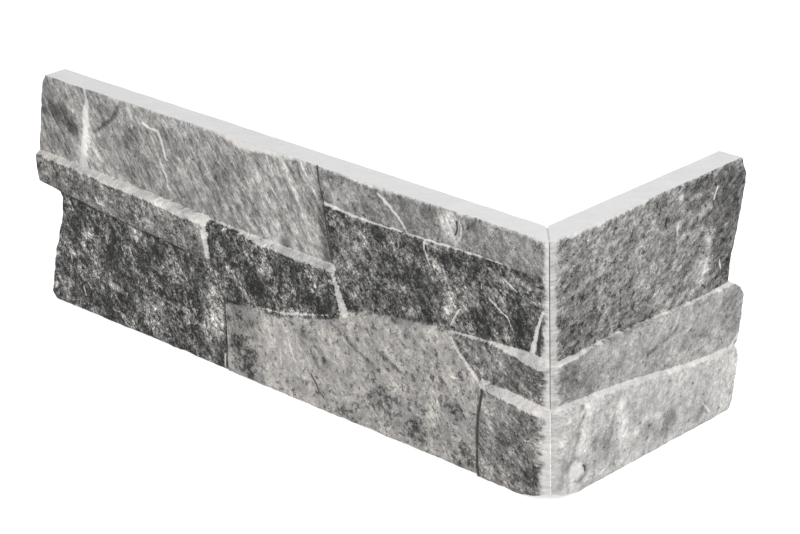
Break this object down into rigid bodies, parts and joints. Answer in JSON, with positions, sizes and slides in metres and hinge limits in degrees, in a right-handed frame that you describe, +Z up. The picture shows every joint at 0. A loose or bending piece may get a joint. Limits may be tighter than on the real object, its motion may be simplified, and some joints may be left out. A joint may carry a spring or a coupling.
{
  "type": "stone cladding corner piece",
  "caption": "Outside corner piece for stone-look wall cladding: a long and a short relief-faced ceramic leg, mitred and bonded at a right angle.",
  "frame": {"origin": "where the two back planes cross at the foot of the wall's outside corner", "axes": "+Z up the corner, the long leg runs towards -X with its back on y = 0, the short leg runs towards +Y with its back on x = 0"},
  "size_m": [0.4224, 0.1674, 0.15],
  "materials": {
    "stone_face": "matte",
    "adhesive": "matte"
  },
  "bodies": {
    "root": {"long_leg": "stone_face", "short_leg": "stone_face", "mitre_bond": "adhesive"}
  },
  "joints": []
}
